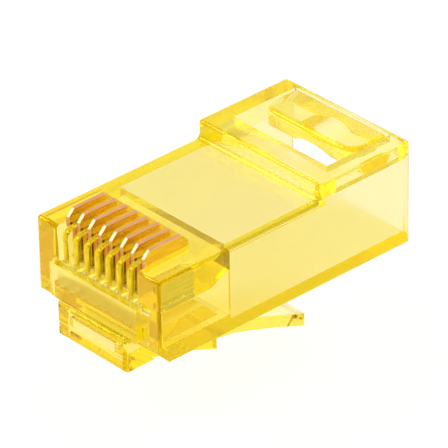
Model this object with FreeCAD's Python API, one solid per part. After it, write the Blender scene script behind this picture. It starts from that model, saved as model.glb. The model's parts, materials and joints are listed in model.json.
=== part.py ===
import FreeCAD, Part
import math
import os

# 8P8C modular plug as it comes off the reel of new plugs: a clear moulded housing with its
# latch below, eight gold-plated contacts still standing proud on top, and the jacket strain
# relief not yet pushed in. Millimetres. X is across the plug, Y runs from the nose to the
# cable end and Z points up, with the contacts on top. The origin is in the middle of the
# nose face, level with the underside of the body.

# Outside of the housing
body_width = 11.68
body_length = 22.0
front_height = 6.22
rear_rise = 1.34
rear_length = 8.0
nose_chamfer = 0.82
edge_radius = 0.3
step_foot_radius = 0.4
mouth_chamfer = 0.3

# Walls and floors round the hollow inside
front_wall = 0.35
duct_side_wall = 1.19
chamber_side_wall = 0.9
chamber_floor = 0.65
duct_floor = 0.87
chamber_roof = 0.67
step_wall = 0.7
jacket_roof_side = 1.5
jacket_roof_middle = 0.8

# Solid block that carries the contacts
duct_roof_z = 3.5
duct_front_radius = 0.8
block_underside_end_y = 4.87
block_rear_y = 6.37
block_rear_z = 4.27

# Eight contact positions
contact_count = 8
contact_pitch = 1.02
comb_slot_width = 0.54
comb_slot_depth = 1.1
comb_floor_z = 3.65
comb_rounding = 0.7
well_breakthrough = 0.2

# Stop plate that stands proud of the nose under the comb
nose_plate_reach = 0.45
nose_plate_margin = 0.3
nose_plate_low_z = 1.15
nose_plate_corner_radius = 0.25

# Bed of grooves that holds the wires under the contacts
wire_diameter = 1.0
wire_underside_z = 1.85
bed_height_z = 2.1
bed_side_margin = 0.25
bed_ramp_start_y = 4.7
bed_ramp_length = 1.2

# Contact blade, seen from its side
contact_thickness = 0.32
contact_side_clearance = 0.03
contact_end_clearance = 0.04
head_front_y = 0.72
head_length = 3.74
head_proud = 0.94
head_height = 1.23
head_front_chamfer = 0.5
head_rear_chamfer = 0.56
head_corner_radius = 0.1
shank_front_y = 0.98
shank_length = 2.82
tine_tip_z = 3.22
tine_depth = 0.5
tine_count = 3
tine_flat_share = 0.5
crimp_travel = 0.93

# Latch root: a strap that hangs in front of the nose, stiffened by two gussets
root_width = 6.54
root_reach = 0.74
root_strap_thickness = 0.6
root_hollow_top_z = 0.3
root_bite = 0.1
gusset_width = 1.27
gusset_end_y = 1.7
root_corner_radius = 0.3

# Latch arm and tail
latch_width = 6.3
latch_thickness = 0.9
hinge_y = 2.0
hinge_z = -0.9
hinge_clearance = 0.03
shoulder_y = 7.2
shoulder_underside_z = -3.08
shoulder_thickness = 1.25
arm_bow = 0.12
tail_width = 3.25
tail_neck_width = 4.3
tail_neck_length = 2.8
tail_end_y = 16.55
tail_underside_z = -6.15
tail_thickness = 0.95
tail_top_bow = 0.05
tail_underside_bow = 0.2
tail_corner_radius = 0.3

# Jacket strain relief, a wedge hung at the cable end of its window
window_width = 8.8
window_length = 5.63
relief_side_clearance = 0.05
relief_gap = 0.05
relief_hinge_radius = 0.28
cable_end_bridge = 0.47
relief_length = 3.25
relief_front_lean = 0.55
relief_depth = 1.7
relief_brow = 0.5
relief_brow_radius = 0.4
relief_corner_radius = 1.2
relief_saddle_radius = 3.0
relief_saddle_depth = 0.5
relief_swing_deg = 30.0
relief_swing_margin_deg = 1.5

# Places worked out from the sizes above
half_width = body_width / 2
rear_height = front_height + rear_rise
step_y = body_length - rear_length
jacket_start_y = step_y + step_wall
duct_half = half_width - duct_side_wall
chamber_half = half_width - chamber_side_wall
chamber_roof_z = front_height - chamber_roof
outer_contact_x = contact_pitch * (contact_count - 1) / 2
comb_half = outer_contact_x + comb_slot_width / 2
bed_half = comb_half + bed_side_margin
head_top_z = front_height + head_proud
head_shoulder_z = head_top_z - head_height
window_front_y = body_length - cable_end_bridge - window_length
relief_underside_z = rear_height - relief_depth
beyond = 1.0
near_enough = 1e-3
relief_hinge_y = body_length - cable_end_bridge - relief_gap - relief_hinge_radius
relief_hinge_z = rear_height - relief_hinge_radius


def vec(x, y, z):
    return FreeCAD.Vector(x, y, z)


def block(x_pair, y_pair, z_pair):
    size = [high - low for low, high in (x_pair, y_pair, z_pair)]
    return Part.makeBox(*size, vec(x_pair[0], y_pair[0], z_pair[0]))


def middle_block(half, y_pair, z_pair):
    return block((-half, half), y_pair, z_pair)


def side_profile(half, start, *steps):
    """Extrude a closed outline, given in Y and Z, to half each side of the middle.

    A step is the next corner, or a pair of a point on an arc and that arc's end.
    """
    here = vec(-half, *start)
    edges = []
    for step in list(steps) + [start]:
        if isinstance(step[0], tuple):
            on_arc, end = (vec(-half, *point) for point in step)
            edges.append(Part.Arc(here, on_arc, end).toShape())
        else:
            end = vec(-half, *step)
            if end.distanceToPoint(here) < near_enough:
                continue
            edges.append(Part.LineSegment(here, end).toShape())
        here = end
    return Part.Face(Part.Wire(edges)).extrude(vec(2 * half, 0, 0))


def cross_rod(radius, half, y, z):
    return Part.makeCylinder(radius, 2 * half, vec(-half, y, z), vec(1, 0, 0))


def edges_through(shape, *tests):
    """Edges whose middle passes one of the tests."""
    found = []
    for edge in shape.Edges:
        middle = edge.CenterOfMass
        if any(test(middle) for test in tests):
            found.append(edge)
    return found


def near(value, target):
    return abs(value - target) < near_enough


def outer_body():
    """The outside of the housing, with its moulded roundings."""
    body = side_profile(
        half_width,
        (nose_chamfer, 0), (body_length, 0), (body_length, rear_height), (step_y, rear_height),
        (step_y, front_height), (0, front_height), (0, nose_chamfer))
    foot = edges_through(body, lambda m: near(m.y, step_y) and near(m.z, front_height))
    body = body.makeFillet(step_foot_radius, foot)
    rounded = edges_through(
        body,
        lambda m: near(m.y, 0) and near(abs(m.x), half_width),
        lambda m: near(m.y, body_length) and near(abs(m.x), half_width),
        lambda m: near(m.y, step_y) and near(abs(m.x), half_width),
        lambda m: near(m.z, rear_height),
        lambda m: near(m.z, front_height) and (near(m.y, 0) or near(abs(m.x), half_width)))
    return body.makeFillet(edge_radius, rounded)


def wire_duct():
    """Hollow under the contact block, with its sloped lead-in for the wires."""
    round_y, round_z = front_wall + duct_front_radius, duct_roof_z - duct_front_radius
    reach = duct_front_radius * math.sqrt(0.5)
    return side_profile(
        duct_half,
        (front_wall, duct_floor), (block_rear_y, duct_floor), (block_rear_y, block_rear_z),
        (block_underside_end_y, duct_roof_z), (round_y, duct_roof_z),
        ((round_y - reach, round_z + reach), (front_wall, round_z)))


def wire_chamber():
    return middle_block(chamber_half, (block_rear_y, jacket_start_y + beyond),
                        (chamber_floor, chamber_roof_z))


def jacket_outline(y, grown=0.0):
    """Section of the cable entry with its arched roof, made larger all round by an amount."""
    half = chamber_half + grown
    low = chamber_floor - grown
    side_z = rear_height - jacket_roof_side + grown
    middle_z = rear_height - jacket_roof_middle + grown
    corners = [vec(-half, y, side_z), vec(-half, y, low), vec(half, y, low), vec(half, y, side_z)]
    edges = [Part.LineSegment(a, b).toShape() for a, b in zip(corners, corners[1:])]
    edges.append(Part.Arc(corners[3], vec(0, y, middle_z), corners[0]).toShape())
    return Part.Wire(edges)


def jacket_passage():
    """Cable entry, open at the cable end, where its mouth widens."""
    length = body_length - jacket_start_y + beyond
    passage = Part.Face(jacket_outline(jacket_start_y)).extrude(vec(0, length, 0))
    mouth = Part.makeLoft([jacket_outline(body_length - mouth_chamfer),
                           jacket_outline(body_length, mouth_chamfer)], True, True)
    return passage.fuse(mouth)


def contact_places():
    return [index * contact_pitch - outer_contact_x for index in range(contact_count)]


def wire_bed():
    """Raised bed in the duct with one round groove for each wire."""
    ramp_end = bed_ramp_start_y + bed_ramp_length
    bed = side_profile(
        bed_half,
        (front_wall, duct_floor), (ramp_end, duct_floor),
        (bed_ramp_start_y, bed_height_z), (front_wall, bed_height_z))
    radius = wire_diameter / 2
    for x in contact_places():
        start = vec(x, front_wall, wire_underside_z + radius)
        bed = bed.cut(Part.makeCylinder(radius, body_length, start, vec(0, 1, 0)))
    return bed


def comb_front_rounding():
    """What the rounded front of the comb takes off the square nose."""
    square = middle_block(comb_half, (-beyond, comb_rounding),
                          (front_height - comb_rounding, front_height + beyond))
    rod = cross_rod(comb_rounding, comb_half, comb_rounding, front_height - comb_rounding)
    return square.cut(rod)


def contact_slot(x):
    """Open slot in the nose with the head and shank wells behind it."""
    comb = block((x - comb_slot_width / 2, x + comb_slot_width / 2),
                 (-beyond, comb_slot_depth), (comb_floor_z, head_top_z))
    half = contact_thickness / 2 + contact_side_clearance
    well_x = (x - half, x + half)
    ledge_z = head_shoulder_z - crimp_travel - contact_end_clearance
    head_end = head_front_y + head_length + contact_end_clearance
    shank_start = shank_front_y - contact_end_clearance
    shank_end = shank_front_y + shank_length + contact_end_clearance
    head_well = block(well_x, (head_front_y, head_end), (ledge_z, head_top_z))
    shank_well = block(well_x, (shank_start, shank_end), (duct_roof_z - well_breakthrough, head_top_z))
    return comb.fuse([head_well, shank_well])


def nose_plate():
    """Low plate across the nose, level with the floor of the comb."""
    half = comb_half + nose_plate_margin
    plate = middle_block(half, (-nose_plate_reach, front_wall / 2), (nose_plate_low_z, comb_floor_z))
    corners = edges_through(plate, lambda m: near(abs(m.x), half) and near(m.z, nose_plate_low_z))
    return plate.makeFillet(nose_plate_corner_radius, corners)


def latch_root():
    """Strap under the nose plate, with two gussets and the first stretch of the arm."""
    half = root_width / 2
    low = hinge_z - latch_thickness / 2
    high = hinge_z + latch_thickness / 2
    strap_rear = root_strap_thickness - root_reach
    hollow_end_y = nose_chamfer - root_hollow_top_z + root_bite
    root = side_profile(
        half,
        (-root_reach, low), (hinge_y, low), (hinge_y, high), (strap_rear, high),
        (strap_rear, root_hollow_top_z), (hollow_end_y, root_hollow_top_z),
        (front_wall / 2, nose_plate_low_z), (-root_reach, nose_plate_low_z))
    front = edges_through(root, lambda m: near(m.y, -root_reach))
    root = root.makeFillet(root_corner_radius, front)
    for side in (-1, 1):
        outer = side * half
        inner = side * (half - gusset_width)
        root = root.fuse(block((min(outer, inner), max(outer, inner)),
                               (-root_reach / 2, gusset_end_y), (hinge_z, duct_floor / 2)))
    seat = cross_rod(latch_thickness / 2 + hinge_clearance, half + beyond, hinge_y, hinge_z)
    return root.cut(seat)


def relief_window():
    return middle_block(window_width / 2,
                        (window_front_y, body_length - cable_end_bridge),
                        (chamber_roof_z, rear_height + beyond))


def make_housing():
    """One clear moulding: comb, contact block, wire chamber, cable entry, stop plate and latch root."""
    housing = outer_body().cut(comb_front_rounding())
    housing = housing.cut(wire_duct().fuse([wire_chamber(), jacket_passage()]))
    housing = housing.fuse(wire_bed())
    housing = housing.cut(relief_window())
    housing = housing.fuse(nose_plate()).fuse(latch_root())
    for x in contact_places():
        housing = housing.cut(contact_slot(x))
    return housing.removeSplitter()


def bowed(start, end, rise):
    """Middle of an arc that stands above the straight line from start to end."""
    return ((start[0] + end[0]) / 2, (start[1] + end[1]) / 2 + rise)


def make_latch():
    """Wide arm with its two locking shoulders, and the narrow tail that the thumb presses."""
    half = latch_width / 2
    grip = latch_thickness / 2
    hinge_top, hinge_low = (hinge_y, hinge_z + grip), (hinge_y, hinge_z - grip)
    shoulder_low = (shoulder_y, shoulder_underside_z)
    shoulder_top = (shoulder_y, shoulder_underside_z + shoulder_thickness)
    tail_low = (tail_end_y, tail_underside_z)
    tail_top = (tail_end_y, tail_underside_z + tail_thickness)
    arm = side_profile(
        half,
        hinge_top, (bowed(hinge_top, shoulder_top, arm_bow), shoulder_top),
        (bowed(shoulder_top, tail_top, tail_top_bow), tail_top), tail_low,
        (bowed(tail_low, shoulder_low, tail_underside_bow), shoulder_low),
        (bowed(shoulder_low, hinge_low, arm_bow), hinge_low))
    neck_end_y = shoulder_y + tail_neck_length
    for side in (-1, 1):
        outline = [(side * (half + beyond), shoulder_y), (side * tail_neck_width / 2, shoulder_y),
                   (side * tail_width / 2, neck_end_y), (side * tail_width / 2, tail_end_y + beyond),
                   (side * (half + beyond), tail_end_y + beyond)]
        corners = [vec(x, y, -body_length) for x, y in outline + outline[:1]]
        arm = arm.cut(Part.Face(Part.makePolygon(corners)).extrude(vec(0, 0, body_length)))
    corners = edges_through(arm, lambda m: near(m.y, tail_end_y) and near(abs(m.x), tail_width / 2))
    arm = arm.makeFillet(tail_corner_radius, corners)
    return arm.fuse(cross_rod(grip, half, hinge_y, hinge_z)).removeSplitter()


def make_jacket_relief():
    """Wedge in the rear window, saddled underneath for the cable, round at its hinge and
    leaning back so that it can swing in."""
    half = window_width / 2 - relief_side_clearance
    lean = math.radians(relief_swing_deg + relief_swing_margin_deg)
    drop = relief_hinge_z - relief_underside_z
    tangent_y = relief_hinge_y + relief_hinge_radius / math.cos(lean) - drop * math.tan(lean)
    tangent_point = (relief_hinge_y + relief_hinge_radius * math.cos(lean),
                     relief_hinge_z - relief_hinge_radius * math.sin(lean))
    diagonal = relief_hinge_radius * math.sqrt(0.5)
    on_round = (relief_hinge_y + diagonal, relief_hinge_z + diagonal)
    front_y = relief_hinge_y - relief_length + relief_hinge_radius
    wedge = side_profile(
        half,
        (front_y, rear_height), (relief_hinge_y, rear_height), (on_round, tangent_point),
        (tangent_y, relief_underside_z), (front_y + relief_front_lean, relief_underside_z),
        (front_y, rear_height - relief_brow))
    plan = middle_block(half, (front_y, body_length), (0, rear_height + beyond))
    plan = plan.makeFillet(relief_corner_radius, edges_through(
        plan, lambda m: near(abs(m.x), half) and near(m.y, front_y)))
    wedge = wedge.common(plan)
    brow = edges_through(wedge, lambda m: near(m.z, rear_height) and m.y < front_y + relief_corner_radius)
    wedge = wedge.makeFillet(relief_brow_radius, brow)
    saddle_axis_z = relief_underside_z + relief_saddle_depth - relief_saddle_radius
    saddle = Part.makeCylinder(relief_saddle_radius, body_length, vec(0, 0, saddle_axis_z), vec(0, 1, 0))
    return wedge.cut(saddle)


def make_contact(x):
    """Stamped blade: chamfered head above its shoulders, shank, and three piercing tines."""
    front, rear = head_front_y, head_front_y + head_length
    shank_rear = shank_front_y + shank_length
    tine_width = shank_length / (2 * tine_count - 1)
    half_flat = tine_width * tine_flat_share / 2
    tines = []
    for index in range(tine_count):
        tip_y = shank_rear - tine_width * (2 * index + 0.5)
        tines.append((tip_y + half_flat, tine_tip_z))
        tines.append((tip_y - half_flat, tine_tip_z))
        if index < tine_count - 1:
            tines.append((tip_y - tine_width, tine_tip_z + tine_depth))
    blade = side_profile(
        contact_thickness / 2,
        (front, head_shoulder_z), (front, head_top_z - head_front_chamfer),
        (front + head_front_chamfer, head_top_z), (rear - head_rear_chamfer, head_top_z),
        (rear, head_top_z - head_rear_chamfer), (rear, head_shoulder_z),
        (shank_rear, head_shoulder_z), (shank_rear, tine_tip_z + tine_depth / 2), *tines,
        (shank_front_y, tine_tip_z + tine_depth / 2), (shank_front_y, head_shoulder_z))
    head_corners = edges_through(blade, lambda m: m.z > head_shoulder_z + near_enough and near(m.x, 0))
    blade = blade.makeFillet(head_corner_radius, head_corners)
    blade.translate(vec(x, 0, 0))
    return blade


def save(node, shape):
    print(node, "valid", shape.isValid(), "solids", len(shape.Solids), "volume", round(shape.Volume, 3))
    shape.exportStep("parts/" + node + ".step")


os.makedirs("parts", exist_ok=True)
save("housing", make_housing())
save("latch", make_latch())
save("jacket_relief", make_jacket_relief())
for number, place in enumerate(contact_places(), start=1):
    save("contact_" + str(number), make_contact(place))
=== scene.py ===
import json
import math

import bmesh
import bpy
from mathutils import Matrix, Vector

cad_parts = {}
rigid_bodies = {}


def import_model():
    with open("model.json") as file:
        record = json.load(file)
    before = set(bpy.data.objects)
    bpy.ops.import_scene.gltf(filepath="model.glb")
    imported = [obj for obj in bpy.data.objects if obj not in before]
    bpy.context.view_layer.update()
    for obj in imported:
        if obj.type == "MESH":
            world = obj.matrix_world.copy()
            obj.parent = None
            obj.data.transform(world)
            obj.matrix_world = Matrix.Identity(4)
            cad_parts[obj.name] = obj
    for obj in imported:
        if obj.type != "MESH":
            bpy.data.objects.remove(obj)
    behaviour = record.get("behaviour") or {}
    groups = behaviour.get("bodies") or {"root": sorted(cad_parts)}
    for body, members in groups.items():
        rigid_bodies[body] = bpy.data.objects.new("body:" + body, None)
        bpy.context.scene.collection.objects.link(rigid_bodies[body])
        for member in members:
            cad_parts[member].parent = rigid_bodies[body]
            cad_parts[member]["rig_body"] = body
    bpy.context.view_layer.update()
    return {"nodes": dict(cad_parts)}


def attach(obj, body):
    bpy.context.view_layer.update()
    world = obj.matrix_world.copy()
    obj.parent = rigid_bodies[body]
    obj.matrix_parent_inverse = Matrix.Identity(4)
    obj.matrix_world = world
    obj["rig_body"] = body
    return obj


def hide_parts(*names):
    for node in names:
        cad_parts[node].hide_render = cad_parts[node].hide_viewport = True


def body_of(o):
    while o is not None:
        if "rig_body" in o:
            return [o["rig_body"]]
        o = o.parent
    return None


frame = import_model()
mm = 0.001
white = (1.0, 1.0, 1.0, 1.0)


def linearColour(hexColour):
    channels = [int(hexColour[i:i + 2], 16) / 255 for i in (1, 3, 5)]
    return tuple(c / 12.92 if c <= 0.04045 else ((c + 0.055) / 1.055) ** 2.4 for c in channels) + (1.0,)


def newMaterial(name):
    material = bpy.data.materials.new(name)
    material.use_nodes = True
    material.node_tree.nodes.clear()
    return material


def addNode(tree, kind, settings=None, links=None, **fields):
    node = tree.nodes.new(kind)
    for field, value in fields.items():
        setattr(node, field, value)
    for socket, value in (settings or {}).items():
        node.inputs[socket].default_value = value
    for socket, source in (links or {}).items():
        tree.links.new(source, node.inputs[socket])
    return node


def deselectAll():
    if bpy.context.object and bpy.context.object.mode != "OBJECT":
        bpy.ops.object.mode_set(mode="OBJECT")
    bpy.ops.object.select_all(action="DESELECT")


# Camera, at the photograph's viewing angle. The picture is 448 x 448 pixels.
photoCamera = {
    "picturePixels": 448,
    "sensorWidth": 36.0,
    "azimuth": 47.8815,                  # degrees, 0 looks along +Y
    "elevation": 31.298,
    "roll": -1.124,
    "distance": 310.67 * mm,
    "focalPixels": 4819.5,
    "middleX": -4.21,                    # pixels from the middle of the picture to the lens axis
    "middleY": 0.82,
    "target": (0.0, 10.5 * mm, 3.5 * mm),
    "nearLimit": 0.01,
    "farLimit": 20.0,
}


def makeCamera(view):
    azimuth, elevation = math.radians(view["azimuth"]), math.radians(view["elevation"])
    back = Vector((math.sin(azimuth) * math.cos(elevation),
                   -math.cos(azimuth) * math.cos(elevation), math.sin(elevation)))
    right = Vector((math.cos(azimuth), math.sin(azimuth), 0))
    up = back.cross(right)
    turn = math.radians(view["roll"])
    rightTurned = right * math.cos(turn) + up * math.sin(turn)
    upTurned = up * math.cos(turn) - right * math.sin(turn)
    lens = bpy.data.cameras.new("photoCamera")
    lens.sensor_width = view["sensorWidth"]
    lens.lens = view["focalPixels"] * view["sensorWidth"] / view["picturePixels"]
    lens.shift_x = -view["middleX"] / view["picturePixels"]
    lens.shift_y = view["middleY"] / view["picturePixels"]
    lens.clip_start, lens.clip_end = view["nearLimit"], view["farLimit"]
    camera = bpy.data.objects.new("photoCamera", lens)
    place = Vector(view["target"]) + back * view["distance"]
    camera.matrix_world = Matrix((
        (rightTurned.x, upTurned.x, back.x, place.x),
        (rightTurned.y, upTurned.y, back.y, place.y),
        (rightTurned.z, upTurned.z, back.z, place.z),
        (0, 0, 0, 1)))
    bpy.context.collection.objects.link(camera)
    bpy.context.scene.camera = camera


makeCamera(photoCamera)

# Clear yellow polycarbonate, injection moulded and tinted all through: thin walls look pale,
# and long paths along an edge turn deep yellow. The outside is as polished as the mould. The
# faces left by the core inside are satin and blur what lies behind them.
yellowPlastic = {
    "ior": 1.585,
    "polishedRoughness": 0.03,
    "satinRoughness": 0.24,
    "innerRoughness": 0.45,              # the feet of the contact wells and the duct behind them
    "surfaceTint": "#FFF8F0",
    "glintTint": "#FFDC00",              # colour of the room's reflection on the faces
    "tint": "#FFFB00",                   # lets no blue pass, and nearly all the rest
    "tintPerMetre": 590.0,
    "shadowColour": "#FFF2B8",           # lamp light that has come through the plastic
    "innerHalfWidth": 3.72 * mm,         # between the outer faces of the end wells
    "innerFront": 0.2 * mm,
    "innerHigh": 3.55 * mm,              # the comb above stays polished
    "innerRear": 4.9 * mm,               # behind the contacts, up to the roof
    "coreHalfWidth": 5.2 * mm,           # the room of the wires and the cable
    "coreFront": 6.3 * mm,
    "coreLow": 0.4 * mm,
    "coreHighFront": 5.85 * mm,          # under the low roof, up to the step
    "coreHighRear": 7.2 * mm,
    "stepPlace": 14.35 * mm,
    "blendLength": 0.1 * mm,
    "flowMarkSize": 1.6 * mm,            # faint marks where the melt flowed
    "flowMarkDetail": 3.0,
    "flowMarkCoarseness": 0.6,
    "flowMarkRange": (0.3, 0.7),
    "flowMarkDepth": 0.12,
}


def makeYellowPlastic(look):
    material = newMaterial("clearYellowPolycarbonate")
    tree = material.node_tree
    place = addNode(tree, "ShaderNodeTexCoord").outputs["Object"]
    axes = addNode(tree, "ShaderNodeSeparateXYZ", links={0: place}).outputs
    side = addNode(tree, "ShaderNodeMath", operation="ABSOLUTE", links={0: axes["X"]}).outputs[0]
    blend = look["blendLength"]
    roof = addNode(tree, "ShaderNodeMapRange", {
        "From Min": look["stepPlace"], "From Max": look["stepPlace"] + blend,
        "To Min": look["coreHighFront"], "To Max": look["coreHighRear"]},
        {"Value": axes["Y"]}).outputs[0]
    ceiling = addNode(tree, "ShaderNodeValue").outputs[0]
    ceiling.default_value = look["innerHigh"]
    finish = addNode(tree, "ShaderNodeValue").outputs[0]
    finish.default_value = look["polishedRoughness"]
    for halfWidth, front, high, rough in (
            (look["innerHalfWidth"], look["innerFront"], ceiling, look["innerRoughness"]),
            (look["innerHalfWidth"], look["innerRear"], roof, look["innerRoughness"]),
            (look["coreHalfWidth"], look["coreFront"], roof, look["satinRoughness"])):
        under = addNode(tree, "ShaderNodeMath", operation="SUBTRACT", links={
            0: high, 1: axes["Z"]}).outputs[0]
        core = addNode(tree, "ShaderNodeMapRange", {
            "From Min": halfWidth, "From Max": halfWidth + blend,
            "To Min": 1.0, "To Max": 0.0}, {"Value": side}).outputs[0]
        for value, start in ((axes["Y"], front), (axes["Z"], look["coreLow"]), (under, 0.0)):
            limit = addNode(tree, "ShaderNodeMapRange", {
                "From Min": start, "From Max": start + blend}, {"Value": value}).outputs[0]
            core = addNode(tree, "ShaderNodeMath", operation="MULTIPLY", links={
                0: core, 1: limit}).outputs[0]
        finish = addNode(tree, "ShaderNodeMapRange", {"To Max": rough}, {
            "Value": core, "To Min": finish}).outputs[0]
    flow = addNode(tree, "ShaderNodeTexNoise", {
        "Scale": 1 / look["flowMarkSize"], "Detail": look["flowMarkDetail"],
        "Roughness": look["flowMarkCoarseness"]}, {"Vector": place}).outputs[0]
    marks = addNode(tree, "ShaderNodeMapRange", {
        "From Min": look["flowMarkRange"][0], "From Max": look["flowMarkRange"][1],
        "To Min": 1 - look["flowMarkDepth"], "To Max": 1 + look["flowMarkDepth"]},
        {"Value": flow}).outputs[0]
    roughness = addNode(tree, "ShaderNodeMath", operation="MULTIPLY", links={
        0: finish, 1: marks}).outputs[0]
    plastic = addNode(tree, "ShaderNodeBsdfPrincipled", {
        "Base Color": linearColour(look["surfaceTint"]), "IOR": look["ior"], "Transmission Weight": 1.0,
        "Specular Tint": linearColour(look["glintTint"])}, {"Roughness": roughness})
    lampThrough = addNode(tree, "ShaderNodeBsdfTransparent", {"Color": linearColour(look["shadowColour"])})
    path = addNode(tree, "ShaderNodeLightPath")
    surface = addNode(tree, "ShaderNodeMixShader", links={
        0: path.outputs["Is Shadow Ray"], 1: plastic.outputs[0], 2: lampThrough.outputs[0]})
    inside = addNode(tree, "ShaderNodeVolumeAbsorption", {
        "Color": linearColour(look["tint"]), "Density": look["tintPerMetre"]})
    addNode(tree, "ShaderNodeOutputMaterial", links={
        "Surface": surface.outputs[0], "Volume": inside.outputs[0]})
    return material


# Phosphor bronze stamped from strip, nickel plated, with gold on the head that the jack
# touches. The flat sides show fine rolling lines. The sheared edges are redder and more satin.
goldPlate = {
    "sideColour": "#FFDE97",
    "edgeColour": "#F2B07A",
    "nickelColour": "#E4DCC6",
    "goldLow": 4.9 * mm,                 # the gold fades into nickel over this height
    "goldHigh": 5.3 * mm,
    "sideTurn": (0.6, 0.8),              # how far a face looks along X where edge becomes side
    "sideRoughness": 0.16,
    "edgeRoughness": 0.3,
    "lineSpacing": 0.05 * mm,            # coarser than the real lines, so that they show
    "lineDetail": 2.0,
    "lineStretch": 0.04,                 # they run along Y
    "lineRange": (0.35, 0.65),
    "lineShade": 0.82,
    "lineDepth": 0.004 * mm,
    "lineStrength": 0.4,
}


def makeGoldPlate(look):
    material = newMaterial("goldPlatedPhosphorBronze")
    tree = material.node_tree
    coordinates = addNode(tree, "ShaderNodeTexCoord").outputs
    facing = addNode(tree, "ShaderNodeSeparateXYZ", links={0: coordinates["Normal"]}).outputs["X"]
    sideways = addNode(tree, "ShaderNodeMath", operation="ABSOLUTE", links={0: facing}).outputs[0]
    side = addNode(tree, "ShaderNodeMapRange", {
        "From Min": look["sideTurn"][0], "From Max": look["sideTurn"][1]},
        {"Value": sideways}).outputs[0]
    along = addNode(tree, "ShaderNodeMapping", {"Scale": (1, look["lineStretch"], 1)},
                    {"Vector": coordinates["Object"]}).outputs[0]
    lines = addNode(tree, "ShaderNodeTexNoise", {
        "Scale": 1 / look["lineSpacing"], "Detail": look["lineDetail"]}, {"Vector": along}).outputs[0]
    gold = addNode(tree, "ShaderNodeMix", {
        "A": linearColour(look["edgeColour"]), "B": linearColour(look["sideColour"])},
        {0: side}, data_type="RGBA").outputs[2]
    height = addNode(tree, "ShaderNodeSeparateXYZ", links={0: coordinates["Object"]}).outputs["Z"]
    gilded = addNode(tree, "ShaderNodeMapRange", {
        "From Min": look["goldLow"], "From Max": look["goldHigh"]}, {"Value": height}).outputs[0]
    plated = addNode(tree, "ShaderNodeMix", {"A": linearColour(look["nickelColour"])},
                     {0: gilded, "B": gold}, data_type="RGBA").outputs[2]
    shade = addNode(tree, "ShaderNodeMapRange", {
        "From Min": look["lineRange"][0], "From Max": look["lineRange"][1],
        "To Min": look["lineShade"], "To Max": 1.0}, {"Value": lines}).outputs[0]
    shaded = addNode(tree, "ShaderNodeHueSaturation", links={
        "Value": shade, "Color": plated}).outputs[0]
    roughness = addNode(tree, "ShaderNodeMapRange", {
        "To Min": look["edgeRoughness"], "To Max": look["sideRoughness"]}, {"Value": side}).outputs[0]
    relief = addNode(tree, "ShaderNodeBump", {
        "Strength": look["lineStrength"], "Distance": look["lineDepth"]}, {"Height": lines}).outputs[0]
    metal = addNode(tree, "ShaderNodeBsdfPrincipled", {"Metallic": 1.0}, {
        "Base Color": shaded, "Roughness": roughness, "Normal": relief})
    addNode(tree, "ShaderNodeOutputMaterial", links={"Surface": metal.outputs[0]})
    return material


plasticMaterial = makeYellowPlastic(yellowPlastic)
goldMaterial = makeGoldPlate(goldPlate)

# Clear plastic and bright metal need a clean mesh: loose triangles merged, flat faces joined.
cleanMesh = {
    "mergeDistance": 0.0005 * mm,
    "flatAngle": 0.3,                    # degrees between faces that are joined
    "sharpAngle": 32.0,                  # degrees from which an edge is rounded
}

# A steel mould leaves a tiny round on every sharp edge, and a larger one on the long outer edges.
mouldedEdges = {
    "round": 0.025 * mm,
    "roundSteps": 2,
    "outerLength": 1.4 * mm,             # outer edges of this length or more are rounder
    "outerRound": 0.16 * mm,
    "outerSteps": 3,
    "outerX": 5.8 * mm,                  # an outer edge lies beyond this on a side,
    "outerY": 0.01 * mm,                 # or within this of the nose face
}

# The blades keep the slightly rolled edges that stamping leaves.
stampedEdges = {
    "round": 0.035 * mm,
    "roundSteps": 2,
}


def cleanCopy(nodeName, pieceName):
    deselectAll()
    piece = bpy.data.objects.new(pieceName, frame["nodes"][nodeName].data.copy())
    bpy.context.collection.objects.link(piece)
    piece.select_set(True)
    bpy.context.view_layer.objects.active = piece
    if piece.data.has_custom_normals:
        bpy.ops.mesh.customdata_custom_splitnormals_clear()
    bpy.ops.object.mode_set(mode="EDIT")
    bpy.ops.mesh.select_all(action="SELECT")
    bpy.ops.mesh.remove_doubles(threshold=cleanMesh["mergeDistance"])
    bpy.ops.mesh.dissolve_limited(angle_limit=math.radians(cleanMesh["flatAngle"]))
    bpy.ops.object.mode_set(mode="OBJECT")
    return piece


def isOuterEdge(edge, edges):
    if not edge.is_convex or edge.calc_length() < edges["outerLength"]:
        return False
    if edge.calc_face_angle() < math.radians(cleanMesh["sharpAngle"]):
        return False
    onSide = all(abs(v.co.x) > edges["outerX"] for v in edge.verts)
    onNose = all(abs(v.co.y) < edges["outerY"] for v in edge.verts)
    return onSide or onNose


def roundOuterEdges(piece, edges):
    bpy.ops.object.mode_set(mode="EDIT")
    bpy.ops.mesh.select_mode(type="EDGE")
    bpy.ops.mesh.select_all(action="DESELECT")
    shape = bmesh.from_edit_mesh(piece.data)
    outer = [edge for edge in shape.edges if isOuterEdge(edge, edges)]
    for edge in outer:
        edge.select_set(True)
    bmesh.update_edit_mesh(piece.data)
    bpy.ops.mesh.bevel(offset=edges["outerRound"], segments=edges["outerSteps"], affect="EDGES")
    bpy.ops.object.mode_set(mode="OBJECT")
    print(piece.name, len(outer), "outer edges")


def roundEdges(piece, edges):
    sharp = math.radians(cleanMesh["sharpAngle"])
    rounding = piece.modifiers.new("edgeRound", "BEVEL")
    rounding.width = edges["round"]
    rounding.segments = edges["roundSteps"]
    rounding.limit_method = "ANGLE"
    rounding.angle_limit = sharp
    rounding.use_clamp_overlap = False
    rounding.loop_slide = False
    bpy.ops.object.modifier_apply(modifier=rounding.name)
    bpy.ops.object.shade_smooth_by_angle(angle=sharp)
    flatten = piece.modifiers.new("flatPanels", "WEIGHTED_NORMAL")
    flatten.keep_sharp = True
    bpy.ops.object.modifier_apply(modifier=flatten.name)


def setMaterial(piece, material):
    piece.data.materials.clear()
    piece.data.materials.append(material)


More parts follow.
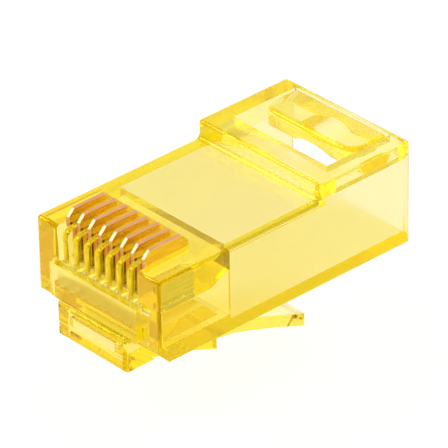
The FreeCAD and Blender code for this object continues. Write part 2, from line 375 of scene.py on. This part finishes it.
for nodeName, node in frame["nodes"].items():
    stamped = nodeName.startswith("contact_")
    edges = stampedEdges if stamped else mouldedEdges
    piece = cleanCopy(nodeName, nodeName + ("Blade" if stamped else "Moulding"))
    if nodeName == "housing":
        roundOuterEdges(piece, edges)
    roundEdges(piece, edges)
    setMaterial(piece, goldMaterial if stamped else plasticMaterial)
    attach(piece, body_of(node)[0])
    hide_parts(nodeName)
    print(piece.name, len(piece.data.polygons), "faces")
print("materials set")

# White table and room. Rays that only light the object get less than rays that see the room.
stage = {
    "floorSize": 2.0,
    "floorZ": -6.16 * mm,                # just under the latch
    "floorColour": "#848484",
    "floorGlow": 0.86,
    "worldLight": 0.42,
    "horizonLight": 1.0,
    "zenithLight": 0.88,
    "horizonTop": 0.2,                   # rise of the view at which the sky starts to darken
    "zenithStart": 0.85,
}


def seenRays(tree):
    path = addNode(tree, "ShaderNodeLightPath").outputs
    seen = path["Is Camera Ray"]
    for kind in ("Is Glossy Ray", "Is Transmission Ray"):
        seen = addNode(tree, "ShaderNodeMath", operation="MAXIMUM", links={
            0: seen, 1: path[kind]}).outputs[0]
    return seen


def makeFloor(look):
    deselectAll()
    bpy.ops.mesh.primitive_plane_add(size=look["floorSize"], location=(0, 0, look["floorZ"]))
    floor = bpy.context.object
    floor.name = "floor"
    bpy.ops.object.transform_apply(location=True, rotation=True, scale=True)
    material = newMaterial("whiteTable")
    tree = material.node_tree
    paper = addNode(tree, "ShaderNodeBsdfDiffuse", {"Color": linearColour(look["floorColour"])})
    strength = addNode(tree, "ShaderNodeMath", {1: look["floorGlow"]}, {0: seenRays(tree)},
                       operation="MULTIPLY")
    glow = addNode(tree, "ShaderNodeEmission", {"Color": white}, {"Strength": strength.outputs[0]})
    both = addNode(tree, "ShaderNodeAddShader", links={0: paper.outputs[0], 1: glow.outputs[0]})
    addNode(tree, "ShaderNodeOutputMaterial", links={"Surface": both.outputs[0]})
    setMaterial(floor, material)


def makeWorld(look):
    world = bpy.data.worlds.new("studio")
    bpy.context.scene.world = world
    world.use_nodes = True
    tree = world.node_tree
    tree.nodes.clear()
    towards = addNode(tree, "ShaderNodeTexCoord").outputs["Generated"]
    rise = addNode(tree, "ShaderNodeSeparateXYZ", links={0: towards}).outputs["Z"]
    room = addNode(tree, "ShaderNodeMapRange", {
        "From Min": look["horizonTop"], "From Max": look["zenithStart"],
        "To Min": look["horizonLight"], "To Max": look["zenithLight"]}, {"Value": rise}).outputs[0]
    strength = addNode(tree, "ShaderNodeMapRange", {"To Min": look["worldLight"]},
                       {"Value": seenRays(tree), "To Max": room}).outputs[0]
    light = addNode(tree, "ShaderNodeBackground", {"Color": white}, {"Strength": strength})
    addNode(tree, "ShaderNodeOutputWorld", links={"Surface": light.outputs[0]})


# Softboxes, in metres and watts. They glint on the faces, and don't show through them.
softboxes = {
    "key": {"place": (-0.38, -0.31, 0.35), "size": 0.22, "watts": 1.0},
    "fill": {"place": (0.45, -0.15, 0.25), "size": 0.25, "watts": 0.6},
    "rear": {"place": (0.05, 0.50, 0.40), "size": 0.25, "watts": 0.8},
}
softboxAim = Vector((0, 10 * mm, 0))


def makeSoftbox(name, box):
    lamp = bpy.data.lights.new(name, "AREA")
    lamp.size = box["size"]
    lamp.energy = box["watts"]
    lampObject = bpy.data.objects.new(name, lamp)
    lampObject.location = box["place"]
    lampObject.visible_transmission = False
    lampObject.rotation_mode = "QUATERNION"
    lampObject.rotation_quaternion = (softboxAim - lampObject.location).to_track_quat("-Z", "Y")
    bpy.context.collection.objects.link(lampObject)


makeFloor(stage)
makeWorld(stage)
for name, box in softboxes.items():
    makeSoftbox(name, box)
print("stage and lights set")

# Clear walls behind clear walls need many bounces.
lightBounces = {"all": 32, "transmission": 32, "glossy": 16, "transparent": 16}
scene = bpy.context.scene
scene.view_settings.view_transform = "Standard"
scene.cycles.max_bounces = lightBounces["all"]
scene.cycles.transmission_bounces = lightBounces["transmission"]
scene.cycles.glossy_bounces = lightBounces["glossy"]
scene.cycles.transparent_max_bounces = lightBounces["transparent"]
